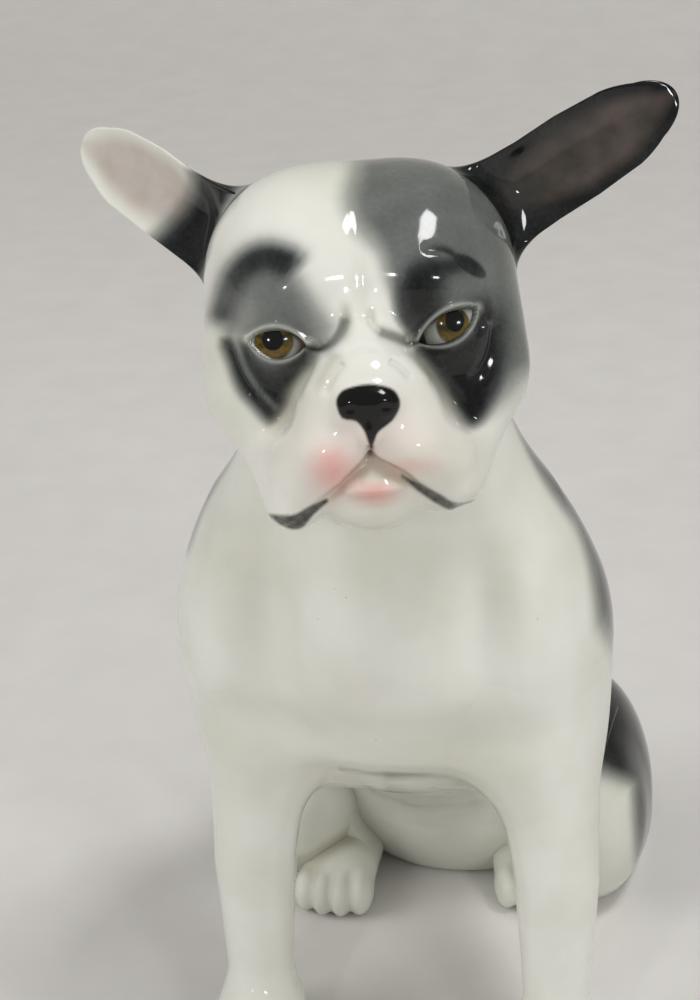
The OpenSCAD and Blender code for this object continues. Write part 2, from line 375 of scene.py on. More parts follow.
def ear_surface(side, rows, columns):
    """The leaf's rings from inside the skull to the tip, closer together where the tip rounds off."""
    fine = rows // 3
    f = np.concatenate([np.linspace(-0.28, 0.7, rows - fine), 1 - 0.3 * np.linspace(1, 0, fine + 1)[1:] ** 2])
    f, t = np.meshgrid(f, np.linspace(0, TURN, columns, endpoint=False), indexing="ij")
    return ear_point(side, f, t)


# ---------------------------------------------------------------- the body

LEGS_MID = 3.0
LEG_X = {LEFT: LEGS_MID + 29.0, RIGHT: LEGS_MID - 29.0}
LEG_Y = -66.0
TOES = (-1.5, -0.5, 0.5, 1.5)
HIND_PAW = {LEFT: dict(at=(14.0, 6.0), turn=15), RIGHT: dict(at=(-21.5, -2.0), turn=0)}


def table(p, form, edge=1.2):
    """A form cut flat by the table, with a small round edge."""
    return carve(form, -p[..., 2], edge)


def trunk_form(p):
    """Rump, loins, barrel, shoulders, breast and neck."""
    rump = ball(p, (0, 1.5, 22), (29, 17.5, 27))
    loins = cone(p, (0, -3, 32), (0, -30, 66), 19.0, 26.0, 1.2)
    barrel = ball(p, (0, -45, 84), (37.5, 31, 33), spin(0, 28))
    shoulders = [ball(p, (s * 24.5, -56, 84), (14, 19, 27)) for s in (LEFT, RIGHT)]
    breast = ball(p, (0, -65, 97), (25, 17, 26))
    neck = cone(p, (0.5, -57, 112), (2.5, -68, 140), 26.0, 20.5)
    body = weld(rump, loins, 14)
    body = weld(body, barrel, 16)
    for s in shoulders:
        body = weld(body, s, 12)
    body = weld(body, breast, 14)
    return table(p, weld(body, neck, 16) - trunk_detail(p))


def trunk_detail(p):
    """Modelled muscle on the breast: a keel down the middle, a hollow each side, and the arm's edge."""
    x, y, z = p[..., 0] - 1.0, p[..., 1], p[..., 2]
    front = smooth(y + 0.55 * (z - 95), -50, -64)
    out = 2.2 * bell(x, 7.0) * smooth(z, 78, 98)
    for s, shift in ((LEFT, 2.0), (RIGHT, 0.0)):
        hollow = np.hypot((x - s * (16.5 - 0.12 * (z - 100)) - shift) / 7.5, (z - 101) / 17)
        out -= 5.6 * bell(hollow, 1.0)
        out -= 2.0 * bell(np.hypot((x - s * 20) / 10, (z - 76) / 5.5), 1.0)
        out += 1.4 * bell(np.hypot((x - s * 27) / 8, (z - 92) / 12), 1.0)
    out += 1.3 * bell(np.hypot(x / 17, (z - 68) / 5.5), 1.0)
    return out * front


def leg_middle(side, z):
    """Middle of a foreleg at a height: upright to the elbow, then in and back under the shoulder."""
    x = LEG_X[side] - side * np.interp(z, [0, 40, 56, 72, 90], [0, 0, 1.5, 5, 10])
    y = LEG_Y + np.interp(z, [0, 12, 26, 44, 60, 76, 90], [-1.5, -0.8, 0, 1.5, 4, 7, 9])
    return x, y


def leg_width(z):
    """Half width across the leg, eased between a few heights."""
    fine = curve([(0, 6.3), (8, 6.2), (16, 6.4), (26, 6.9), (36, 7.6), (46, 8.2), (56, 9.2), (68, 10.4),
                  (80, 9.4), (92, 8)], 80)
    return np.interp(z, fine[:, 0], fine[:, 1])


def foreleg_form(p, side):
    """A tapering leg that is deeper than it is wide, with an elbow, a pastern and a paw of four toes."""
    x = LEG_X[side]
    middle_x, middle_y = leg_middle(side, p[..., 2])
    width = leg_width(p[..., 2])
    depth = width * np.interp(p[..., 2], [0, 20, 50, 80], [1.16, 1.1, 1.2, 1.25])
    q = np.stack([(p[..., 0] - middle_x) / width, (p[..., 1] - middle_y) / depth], axis=-1)
    round_ = (np.linalg.norm(q, axis=-1) - 1) * width
    out = carve(round_, p[..., 2] - 86, 8)
    out = carve(out, 4 - p[..., 2], 3)
    elbow = ball(p, (x - side * 2.5, LEG_Y + 14, 64), (6.5, 8, 12))
    out = weld(out, elbow, 8)
    paw = ball(p, (x, LEG_Y - 5.5, 5.5), (8.2, 11.5, 7.2))
    out = weld(out, paw, 6)
    for k in TOES:
        out = weld(out, ball(p, (x + k * 3.9, LEG_Y - 12.0 + abs(k) * 1.1, 4.0), (2.6, 4.6, 4.6)), 1.6)
    return table(p, out)


def haunch_form(p, side):
    """The thigh: a broad ellipsoid that leans in at the top, and the knee in front of it."""
    thigh = ball(p, (side * 30.0, -1.5, 21.5), (13.0, 24.0, 24.5), spin(1, -side * 8))
    knee = ball(p, (side * 30.5, -15.0, 21.0), (10.0, 10.0, 15.0))
    hock = ball(p, (side * 28.0, 8.0, 8.0), (11.0, 14.0, 9.0))
    return table(p, weld_all([thigh, knee, hock], 8))


def paw_form(p, side):
    """A hind foot from the hock to four toes."""
    paw = HIND_PAW[side]
    q = (p - np.array([*paw["at"], 0])) @ spin(2, paw["turn"])
    out = cone(q, (0, 4, 6.8), (0, -18, 6.6), 6.2, 6.9, 1.18)
    for k in TOES:
        out = weld(out, ball(q, (k * 3.9, -25.0 + abs(k) * 1.1, 4.4), (2.6, 5.0, 4.9)), 1.6)
    return table(p, out)


def tail_axis(count):
    """The tail's middle line: straight back at the root, then a quarter turn down and to the left."""
    f = np.linspace(0, 1, count)
    bend = np.radians(100 * f)
    return np.stack([4 * (1 - np.cos(bend)), 11 + 13 * f, 22 - 7 * np.sin(bend) * f], axis=-1)


def tail_form(p):
    """A short stub that curls to the dog's left."""
    points = tail_axis(6)
    radii = np.linspace(5.6, 2.2, 6)
    return weld_all([cone(p, a, b, ra, rb) for a, b, ra, rb in
                     zip(points[:-1], points[1:], radii[:-1], radii[1:])], 1.0)


# ---------------------------------------------------------------- rays and meshes

def cast(form, origins, rays, reach):
    """Halves the stretch between a point inside a form and one outside it 15 times, then interpolates."""
    low = np.zeros(rays.shape[:-1])
    high = np.broadcast_to(np.asarray(reach, float), low.shape).copy()
    f_low = form(origins + low[..., None] * rays)
    f_high = form(origins + high[..., None] * rays)
    for _ in range(15):
        middle = (low + high) / 2
        f = form(origins + middle[..., None] * rays)
        outside = f > 0
        high, f_high = np.where(outside, middle, high), np.where(outside, f, f_high)
        low, f_low = np.where(outside, low, middle), np.where(outside, f_low, f)
    share = np.where(f_high > 0, -f_low / np.maximum(f_high - f_low, 1e-9), 1.0)
    return origins + (low + np.clip(share, 0, 1) * (high - low))[..., None] * rays


def globe_rays(rows, columns):
    """Directions from the head's middle, with the poles up and down. The turn is a s + b s cubed and
    the rise a v + b v cubed less a hump, which crowds them towards the face (-Y) and the mouth."""
    s = np.linspace(-1, 1, columns, endpoint=False)
    turn = math.pi * (0.42 * s + 0.58 * s ** 3)
    v = np.linspace(-1, 1, rows)
    rise = math.pi / 2 * (0.6 * v + 0.4 * v ** 3) - 0.2 * (1 - v * v) ** 2
    rise, turn = np.meshgrid(rise, turn, indexing="ij")
    return np.stack([np.cos(rise) * np.sin(turn), -np.cos(rise) * np.cos(turn), np.sin(rise)], axis=-1)


def limb_rays(axis, columns, caps):
    """Origins on a middle line and rays square to it, fanned into a pole at both ends: a ray is
    cos(fan) times the ring's direction plus or minus sin(fan) times the line's."""
    along = unit(np.gradient(axis, axis=0))
    across = unit(np.array([1.0, 0.0, 0.0]) - along[:, :1] * along)
    other = np.cross(along, across)
    fan = np.linspace(0, math.pi / 2, caps, endpoint=False)
    tip = np.concatenate([np.full(caps, -1.0), np.zeros(len(axis)), np.full(caps, 1.0)])
    lift = np.concatenate([np.cos(fan), np.zeros(len(axis)), np.cos(fan[::-1])])
    index = np.concatenate([np.zeros(caps, int), np.arange(len(axis)), np.full(caps, len(axis) - 1)])
    t = np.linspace(0, TURN, columns, endpoint=False)
    flat = np.sqrt(1 - lift ** 2)[:, None, None]
    ring = (across[index][:, None] * np.cos(t)[None, :, None]
            + other[index][:, None] * np.sin(t)[None, :, None])
    rays = flat * ring + (tip * lift)[:, None, None] * along[index][:, None]
    return np.broadcast_to(axis[index][:, None], rays.shape), unit(rays)


def skin(name, grids, paint):
    """One mesh object from closed grids: rows of rings whose first and last rows shrink to a pole."""
    verts, starts, corners, total = [], [], [], 0
    for grid in grids:
        rows, columns = grid.shape[:2]
        inner = grid[1:-1].reshape(-1, 3)
        points = np.vstack([inner, grid[0].mean(0), grid[-1].mean(0)])
        i, j = np.meshgrid(np.arange(rows - 3), np.arange(columns), indexing="ij")
        k = (j + 1) % columns
        quads = np.stack([i * columns + j, i * columns + k, (i + 1) * columns + k, (i + 1) * columns + j], -1)
        quads = quads.reshape(-1, 4)
        j = np.arange(columns)
        k = (j + 1) % columns
        first, last = len(inner), len(inner) + 1
        low = np.stack([np.full(columns, first), k, j], -1)
        top = (rows - 3) * columns
        high = np.stack([np.full(columns, last), top + j, top + k], -1)
        tris = np.vstack([low, high, quads[:, [0, 1, 2]], quads[:, [0, 2, 3]]])
        volume = np.einsum("ij,ij->", points[tris[:, 0]], np.cross(points[tris[:, 1]], points[tris[:, 2]]))
        if volume < 0:
            quads, low, high = quads[:, ::-1], low[:, ::-1], high[:, ::-1]
        verts.append(points)
        for block in (quads, low, high):
            corners.append((block + total).ravel())
            starts.append(np.full(len(block), block.shape[1]))
        total += len(points)
    verts = np.vstack(verts)
    corners = np.concatenate(corners)
    sizes = np.concatenate(starts)
    mesh = bpy.data.meshes.new(name)
    mesh.vertices.add(len(verts))
    mesh.vertices.foreach_set("co", (verts * MM).astype(np.float32).ravel())
    mesh.loops.add(len(corners))
    mesh.loops.foreach_set("vertex_index", corners.astype(np.int32))
    mesh.polygons.add(len(sizes))
    mesh.polygons.foreach_set("loop_start", (np.cumsum(sizes) - sizes).astype(np.int32))
    mesh.update(calc_edges=True)
    mesh.polygons.foreach_set("use_smooth", np.ones(len(sizes), bool))
    mesh.update()
    normals = np.empty(len(verts) * 3, np.float32)
    mesh.vertices.foreach_get("normal", normals)
    for key, values in paint(verts, normals.reshape(-1, 3)).items():
        layer = mesh.attributes.new(key, "FLOAT", "POINT")
        layer.data.foreach_set("value", np.clip(values, 0, 1).astype(np.float32))
    piece = bpy.data.objects.new(name, mesh)
    bpy.context.scene.collection.objects.link(piece)
    return piece


def slip_grid(limb, body, foot, tip, reach, wide, tilt=34, rows=44, columns=120):
    """The slip that fills a joint. Its rays start on the line from foot to tip, tilted towards the limb
    at the foot and square to the line at the tip, and end just under the smooth union of limb and body.
    The first rings are sunk a further 0.3 mm into the body."""
    foot, tip = np.asarray(foot, float), np.asarray(tip, float)
    along = unit(tip - foot)
    side_way = np.array([0.0, 0.0, 1.0]) if abs(along[2]) < 0.7 else np.array([1.0, 0.0, 0.0])
    across = unit(side_way - (side_way @ along) * along)
    other = np.cross(along, across)
    f = np.linspace(0, 1, rows)
    lean = np.radians(tilt) * (1 - f) ** 1.5
    t = np.linspace(0, TURN, columns, endpoint=False)
    ring = across * np.cos(t)[:, None] + other * np.sin(t)[:, None]
    rays = ring[None] * np.cos(lean)[:, None, None] + along * np.sin(lean)[:, None, None]
    start = foot + f[:, None] * (tip - foot)
    start = np.broadcast_to(start[:, None], rays.shape)

    def joined(p):
        return np.maximum(weld(limb(p), body(p), reach), -p[..., 2]) + BURIED

    grid = cast(joined, start, rays, wide) - (0.3 * (1 - f) ** 6)[:, None, None] * rays
    return np.concatenate([start[:1], grid, start[-1:]])


def ear_root_grid(side, rows=34, columns=160):
    """The slip round an ear's root: Hermite cubics from a ring on the ear, leaving along the ear, to a
    wider ring on the skull, landing flat to it. Past the first ring it closes inside the leaf."""
    t = np.linspace(0, TURN, columns, endpoint=False)
    half = EARS[side]["width"] * ear_half_width(np.array(0.17))
    inward = unit(ear_point(side, 0.19, t) - ear_point(side, 0.22, t))
    top = ear_point(side, 0.22, t, 0.99, 0.998)
    inner = [ear_point(side, 0.27, t, 0.1, k) for k in (0.1, 0.5, 0.9)]
    inner.append(ear_point(side, 0.25, t, 0.8, 0.97))
    back = 1.0 + 7.6 * np.sin(t) - 2.2 * np.cos(t) ** 2
    wide = from_ear(np.stack([0 * t, back, 1.62 * half * np.cos(t)], axis=-1), side)
    middle = from_head(np.array([0.0, 0.0, 4.0]))
    rays = unit(wide - middle)
    land = cast(lambda p: head_form(p) + BURIED, np.broadcast_to(middle, rays.shape), rays, 45)
    hub = land.mean(0)
    away = land - hub
    away = unit(away - (away * rays).sum(-1, keepdims=True) * rays)
    pull = 1.1 * np.linalg.norm(land - top, axis=-1, keepdims=True)
    f = np.linspace(0, 1, rows)[:, None, None]
    grid = ((2 * f ** 3 - 3 * f ** 2 + 1) * top + (f ** 3 - 2 * f ** 2 + f) * pull * inward
            + (3 * f ** 2 - 2 * f ** 3) * land + (f ** 3 - f ** 2) * pull * away)
    deep = np.broadcast_to(middle + 0.6 * (hub - middle), (1, columns, 3))
    return np.concatenate([ear_point(side, 0.27, t, 0.0, 0.0)[None], np.stack(inner), grid, deep])


def limb_grid(form, axis, columns, caps, reach):
    """A limb's skin: rings square to its middle line and round fans at both ends."""
    starts, rays = limb_rays(axis, columns, caps)
    return cast(form, starts, rays, reach)


def sphere(rows, columns):
    """Directions every way: (cos rise cos turn, cos rise sin turn, sin rise)."""
    rise = np.linspace(-math.pi / 2, math.pi / 2, rows)
    turn = np.linspace(0, TURN, columns, endpoint=False)
    rise, turn = np.meshgrid(rise, turn, indexing="ij")
    return np.stack([np.cos(rise) * np.cos(turn), np.cos(rise) * np.sin(turn), np.sin(rise)], axis=-1)


def blob_grid(form, centre, rows, columns, reach):
    """A round casting's skin: rays every way from its middle, with the poles up and down."""
    rays = sphere(rows, columns)
    return cast(form, np.broadcast_to(np.asarray(centre, float), rays.shape), rays, reach)


# ---------------------------------------------------------------- painting

PAINTS = ("slate", "ink", "leather", "rose", "flesh", "taupe", "amber", "pupil", "crease_shade")
# Outlines and strokes on the plane of the face.
RING_ARC = [(-21.1, 8.5), (-19.0, 12.6), (-16.2, 15.2), (-13.1, 15.8), (-9.8, 14.4), (-8.2, 12.6)]
RING_FILL = [(-21.1, 9.0), (-19.0, 12.6), (-16.2, 15.2), (-13.1, 15.8), (-9.8, 14.3), (-7.5, 11.1),
             (-4.9, 7.0), (-3.0, 4.7), (-3.4, 2.8), (-4.9, 1.2), (-8.3, 1.8), (-13.5, 1.8), (-17.3, 3.2),
             (-20.9, 4.1), (-21.3, 7)]
BAG = [(-21.3, 4.1), (-20.5, 0.1), (-19.3, -4.0), (-17.3, -6.8), (-15.0, -9.3), (-12.8, -7.4), (-11.3, -4.5),
       (-9.4, -2.2), (-6.4, 0.9), (-8.3, 2.2), (-12.9, 2.4), (-17.3, 3.7)]
CHEEK = [(8.9, 0.9), (11.2, -2.8), (13.2, -6.7), (14.8, -10.6), (16.2, -12.4), (18.0, -11.8), (20.2, -8.6),
         (21.6, -4.5), (22.4, 0.0), (22.2, 4.4), (20.4, 6.4), (18.0, 5.4), (15.5, 2.6), (11.7, 1.6)]
SOFT_SIDE = [(8.1, 1.2), (14.5, -9.0), (18.0, -10.5), (22.0, -8.0), (26.0, -4.5), (32.0, -4.0), (40, -4),
             (40, 45), (1.5, 45), (1.5, 31.3), (-0.2, 24.4), (0.8, 20.0), (3.8, 15.4), (4.6, 11.9),
             (5.4, 8.5), (6.0, 4.7)]
NOSE_LEATHER = [(-4.3, -8.2), (-3.9, -6.8), (-2.6, -5.9), (0.8, -5.5), (3.9, -6.3), (5.0, -7.6), (5.1, -9.2),
                (3.8, -11.2), (1.7, -12.7), (0.9, -14.2), (0.4, -15.3), (0.0, -14.0), (-0.5, -12.4),
                (-1.6, -10.9), (-3.6, -10.3)]
BAG_FOLD = [(-19.2, 3.7), (-17.8, -1.2), (-15.7, -4.9), (-13.9, -7.2)]
CHEEK_FOLD = [(19.6, 4.2), (18.7, -0.6), (16.4, -4.6)]
BROW_FOLD = [(9.9, 15.3), (13.6, 15.0), (15.7, 13.6), (18.6, 11.0)]
# Brush strokes of the mouth, with their half widths from end to end.
MOUTH = (([(4.8, -19.6), (7.4, -21.6), (10.1, -23.5), (12.8, -25.0), (16.6, -24.2)],
          [0.15, 0.55, 0.75, 0.6, 0.15]),
         ([(-7.0, -22.6), (-9.6, -24.1), (-11.6, -25.5), (-13.4, -25.4), (-15.9, -24.3)],
          [0.3, 0.75, 1.2, 1.0, 0.25]))
# Creases darkened with painted shade, with their widths.
SHADED_CREASES = (([(-3.2, 0.2), (-5.0, -2.4), (-8.2, -6.5)], 1.5), ([(-1.9, 9), (-1.8, 4), (-3.2, 1)], 1.1),
         ([(6.6, 0.4), (9.4, -3.0), (12.0, -7.0)], 1.3), ([(0.2, -14.5), (0.3, -18.6)], 0.9))


def layered(first, second):
    """Two coats sprayed one over the other: what each lets through is multiplied."""
    return 1 - (1 - np.clip(first, 0, 1)) * (1 - np.clip(second, 0, 1))


def head_paint(p):
    """Densities of the colours on the head: slate spray, black leather, brushed ink and blush, and painted
    shade in the creases.
    """
    q = to_head(p)
    x, z = on_face(q)
    front = smooth(q[..., 1], 3, -5)
    half = in_outline(x, z, SOFT_SIDE)
    soft = np.interp(z, [-4, 2, 9, 18, 26], [3.0, 1.0, 1.5, 3.0, 3.2])
    grey = 0.63 * smooth(half, soft, -soft)
    behind = smooth(q[..., 0], -2.0, 3.5) * smooth(q[..., 2] - 0.4 * q[..., 1], -16, -6) * 0.62
    behind = np.maximum(behind, 0.92 * smooth(q[..., 1] - 1.1 * q[..., 2], 14, 24))
    slate = grey * front + behind * (1 - front)
    lid = np.minimum(eye_gap(x, z, EYES[RIGHT]), eye_gap(x, z, EYES[LEFT]))
    ring, along = to_line(x, z, RING_ARC)
    fill = smooth(in_outline(x, z, RING_FILL), 2.0, -2.6)
    fade = 1 - 0.5 * smooth(x + 0.25 * z, -8.5, -1.5)
    arc = bell(np.maximum(ring - 0.4, 0), 2.3) * smooth(along, 1.05, 0.75) * smooth(z, 4, 9)
    arc = arc * (0.70 + 0.24 * smooth(along, 0.05, 0.5))
    left_eye = layered(0.58 * fill * fade * (1 - 0.25 * smooth(x, -13, -20)), arc)
    bag = smooth(in_outline(x, z, BAG), 1.6, -1.6)
    fold, _ = to_line(x, z, BAG_FOLD)
    bag = bag * (0.98 - 0.35 * bell(fold, 0.6) - 0.22 * smooth(lid, 4.0, 0.5))
    slate = layered(slate, np.maximum(left_eye, bag) * front)
    brow = 0.97 * smooth(np.hypot((x - 10.0 - 0.12 * (z - 8)) / 4.4, (z - 8.2) / 6.2), 1.25, 0.2)
    wing, f = to_line(x, z, [(9.6, 10.6), (12.5, 11.9), (15.5, 12.3), (18.4, 11.6)])
    brow = layered(brow, 0.75 * bell(wing, 1.5) * smooth(f, 1.05, 0.6))
    dense = in_outline(x, z, CHEEK)
    reach = np.interp(z, [-13, -6, 2, 6], [1.3, 1.6, 3.2, 4.2])
    cheek = smooth(dense, reach, -reach - 0.4)
    fold, _ = to_line(x, z, CHEEK_FOLD)
    cheek = cheek * (0.99 - 0.25 * bell(fold, 0.45))
    side = layered(brow, cheek)
    spot = in_outline(*spun(x - 17.6, z - 12.3, 32), oval(2.9, 1.25))
    side = np.maximum(side, 0.8 * smooth(spot, 0.3, -0.3))
    line, f = to_line(x, z, BROW_FOLD)
    side = np.maximum(side, 0.70 * bell(line, 0.6) * smooth(f, 0, 0.4) * smooth(f, 1, 0.6))
    slate = layered(slate, side * front)
    slate = slate * (1 - 0.5 * bell(lid - 0.4, 0.35) * front)
    corner_r, f = to_line(x, z, [(-8.8, 1.7), (-6.4, 1.0), (-4.4, 1.7), (-2.9, 3.4), (-2.2, 4.8)])
    ink = 0.95 * bell(corner_r, 0.42) * smooth(f, 0.62, 0.2)
    slate = np.maximum(slate, 0.5 * bell(corner_r, 0.9) * front)
    corner_l, f = to_line(x, z, [(9.4, 1.1), (7.6, 0.9), (5.4, 1.8), (3.5, 2.6)])
    ink = np.maximum(ink, 0.95 * bell(corner_l, 0.45) * smooth(f, 0.6, 0.2))
    slate = np.maximum(slate, 0.45 * bell(corner_l, 0.9) * front)
    leather = smooth(in_outline(x, z, NOSE_LEATHER), 0.26, -0.22) * smooth(q[..., 1], -24, -26)
    mouth = np.zeros(x.shape)
    for points, wide in MOUTH:
        d, f = to_line(x, z, points)
        width = np.interp(f, np.linspace(0, 1, len(wide)), wide)
        mouth = np.maximum(mouth, smooth(d, width + 0.3, width - 0.25))
    rose = 0.85 * bell(np.hypot(x + 5.6, (z + 17.8) / 1.05), 3.6)
    rose = np.maximum(rose, 0.85 * bell(np.hypot((x - 0.4) / 3.6, (z + 21.9) / 1.7), 1.0))
    rose = np.maximum(rose, 0.42 * bell(np.hypot((x - 5.6) / 5.0, (z + 18.2) / 1.7), 1.0))
    rose = np.maximum(rose, 0.2 * bell(np.hypot((x - 0.5) / 12, (z + 15) / 7), 1.0))
    # painted shade along the listed creases of the face
    shade = np.zeros(x.shape)
    for points, wide in SHADED_CREASES:
        d, f = to_line(x, z, points)
        shade = np.maximum(shade, bell(d, wide) * smooth(f, 0, 0.2) * smooth(f, 1, 0.7))
    return dict(slate=slate, ink=np.maximum(ink, mouth) * front, leather=leather, rose=rose * front,
                crease_shade=0.8 * shade * front)


def spun(x, z, degrees):
    """A point of a plane turned about its origin."""
    c, s = math.cos(math.radians(degrees)), math.sin(math.radians(degrees))
    return x * c - z * s, x * s + z * c


def oval(a, b, count=24):
    """An ellipse's outline."""
    t = np.linspace(0, TURN, count, endpoint=False)
    return np.stack([a * np.cos(t), b * np.sin(t)], axis=-1)


def body_paint(p):
    """A slate saddle over the back, from the nape to the rump, with soft sprayed edges."""
    x, y, z = p[..., 0], p[..., 1], p[..., 2]
    middle = np.interp(z, [0, 30, 66, 84, 112, 140], [2, -2, -26, -42, -57, -68])
    turn = np.degrees(np.arctan2(y - middle, np.abs(x - 1)))
    wave = 3 * np.sin(z * 0.13 + 1) + 2 * np.sin(z * 0.27 + x * 0.05)
    shift = np.interp(z, [55, 75, 92, 108, 130], [-16, -20, -14, 4, 14])
    other = np.interp(z, [55, 75, 92, 104, 125], [0, -4, 0, -14, -8])
    left = np.where(x > 0, smooth(turn + wave - shift, -10, 10), smooth(turn + wave - other, -6, 14))
    saddle = left * smooth(z + 0.2 * wave, 4, 20)
    gap = smooth(z, 66, 54) * smooth(z, 28, 42) * smooth(np.abs(x), 15, 27)
    return dict(slate=0.96 * saddle * (1 - 0.35 * gap))


def haunch_paint(p):
    """A slate patch sprayed round the back and top edge of each thigh."""
    x, y, z = p[..., 0], p[..., 1], p[..., 2]
    hollow = smooth(np.hypot((y + 24) / 16, (z - 15) / 21), 0.72, 1.12) * smooth(y + 0.3 * z, -14, -5)
    outer = smooth(np.abs(x) + 0.14 * y + 0.06 * z, 38.5, 43.0)
    return dict(slate=0.96 * np.maximum(hollow, outer) * smooth(z, 1, 7))


def tail_paint(p):
    """White where it meets the seat, then slate."""
    return dict(slate=0.9 * smooth(p[..., 1], 16, 19))


def ear_paint(side):
    """The dog's left ear is slate all over but its inside; the right one is slate only at its root."""
    def paint(p):
        e = to_ear(p, side)
        ear = EARS[side]
        f = e[..., 0] / ear["length"]
        half = np.maximum(ear["width"] * ear_half_width(f), 0.5)
        w = np.clip(e[..., 2] / half, -1.2, 1.2)
        inside = smooth(ear_middle(f, w) - e[..., 1], -0.2, 0.5)
        if side == LEFT:
            hollow = smooth(np.hypot((f - 0.58) / 0.46, w / 0.86), 1.1, 0.6) * inside
            slate = 0.98 - 0.06 * smooth(f, 0.2, 0.9) * (1 - inside)
        else:
            hollow = smooth(np.hypot((f - 0.60) / 0.42, w / 0.85), 1.15, 0.6) * inside
            slate = 0.97 * smooth(f + 0.06 * w, 0.42, 0.22)
        return {"slate": slate, "flesh" if side == LEFT else "taupe": hollow}
    return paint


def eye_paint(p):
    """Amber iris, blue-black pupil, blush at the inner corner and painted shadow under the upper lid, on the
    plane of the face.
    """
    q = to_head(p)
    x, z = on_face(q)
    out = {k: np.zeros(x.shape) for k in ("amber", "pupil", "rose", "ink", "slate")}
    for side, eye in EYES.items():
        near = smooth(q[..., 0] * side, -1, 1) * smooth(q[..., 1], -12, -14)
        ix, iz, ia, ib = eye["iris"]
        k = np.hypot((x - ix) / ia, (z - iz) / ib)
        out["amber"] = np.maximum(out["amber"], smooth(k, 1.04, 0.96) * near)
        ring = bell(k - 1.0, 0.07)
        px, pz, pa, pb = eye["pupil"]
        k = np.hypot((x - px) / pa, (z - pz) / pb)
        out["pupil"] = np.maximum(out["pupil"], smooth(k, 1.08, 0.94) * near)
        gap = eye_gap(x, z, eye)
        # painted shadow of the upper lid: ink along the top of the eyeball
        upper_lid_shadow = smooth(gap, -1.0, -0.1) * smooth(z - eye["at"][1], -0.4, 1.0)
        out["ink"] = np.maximum(out["ink"], np.maximum(0.8 * upper_lid_shadow, 0.6 * ring) * near)
        out["slate"] = np.maximum(out["slate"], 0.34 * near)
        inner = (x - eye["at"][0]) * -side / eye["half"]
        out["rose"] = np.maximum(out["rose"], 0.7 * smooth(inner, 0.62, 0.85) * near)
    return out


def neck_paint(p):
    """Under the chin the throat's white, at the nape the saddle."""
    up = smooth(to_head(p)[..., 2], -12, 2)
    return dict(slate=np.maximum(head_paint(p)["slate"] * up, body_paint(p)["slate"]))


def flank_paint(p):
    """The trunk's paint inside a haunch's slip and the haunch's outside it."""
    out = smooth(np.abs(p[..., 0]), 24, 31)
    return dict(slate=haunch_paint(p)["slate"] * out + body_paint(p)["slate"] * (1 - out))


def ear_root_paint(side):
    """The ear's paint near the ear, and the head's, shaded with slate, near the skull."""
    def paint(p):
        ear, head = ear_paint(side)(p), head_paint(p)
        out = to_ear(p, side)[..., 0]
        near = smooth(out, -3, 3)
        slate = head["slate"] * (1 - near) + ear.pop("slate") * near
        slate = np.maximum(slate, 0.75 * bell(out + 1, 5) * (1 - near))
        return dict(slate=slate, **{key: value * near for key, value in ear.items()})
    return paint


def finished(kind, form=None):
    """Adds painted shade in creases and hollows: darker the nearer other clay stands, 2 mm off the surface.
    """
    def paint(p, normal):
        out = {k: np.zeros(len(p)) for k in PAINTS}
        out.update(kind(p) if kind else {})
        if form is not None:
            # painted shade: darker where other clay stands within about 2 mm
            out["crease_shade"] = np.maximum(out["crease_shade"], smooth(form(p + 2.0 * normal), 1.7, 0.3))
        return out
    return paint


# ---------------------------------------------------------------- materials

def linear(code):
    """An sRGB hex colour as linear RGBA."""
    c = np.array([int(code[i:i + 2], 16) for i in (1, 3, 5)]) / 255
    c = np.where(c <= 0.04045, c / 12.92, ((c + 0.055) / 1.055) ** 2.4)
    return (*c.tolist(), 1.0)


def add(tree, kind, settings=None, **inputs):
    """Adds a node, sets its properties, and gives each input a value or links an output to it."""
    node = tree.nodes.new(kind)
    for key, value in (settings or {}).items():
        setattr(node, key, value)
    for key, value in inputs.items():
        key = key.replace("_", " ")
        socket = node.inputs[int(key[1:])] if key[0] == "i" and key[1:].isdigit() else node.inputs[key]
        if isinstance(value, bpy.types.NodeSocket):
            tree.links.new(value, socket)
        else:
            socket.default_value = value
    return node


def blank(name):
    """A new material with an empty node tree."""
    material = bpy.data.materials.new(name)
    material.use_nodes = True
    material.node_tree.nodes.clear()
    return material, material.node_tree


def over(tree, base, colour, amount, blend="MIX"):
    """One colour laid over another by an amount."""
    settings = dict(data_type="RGBA", blend_type=blend)
    return add(tree, "ShaderNodeMix", settings, i0=amount, i6=base, i7=colour).outputs[2]


def times(tree, a, b):
    """The product of two values."""
    return add(tree, "ShaderNodeMath", dict(operation="MULTIPLY"), i0=a, i1=b).outputs[0]


def plus(tree, a, b, clamp=False):
    """The sum of two values, held between 0 and 1 if clamp is set."""
    return add(tree, "ShaderNodeMath", dict(operation="ADD", use_clamp=clamp), i0=a, i1=b).outputs[0]


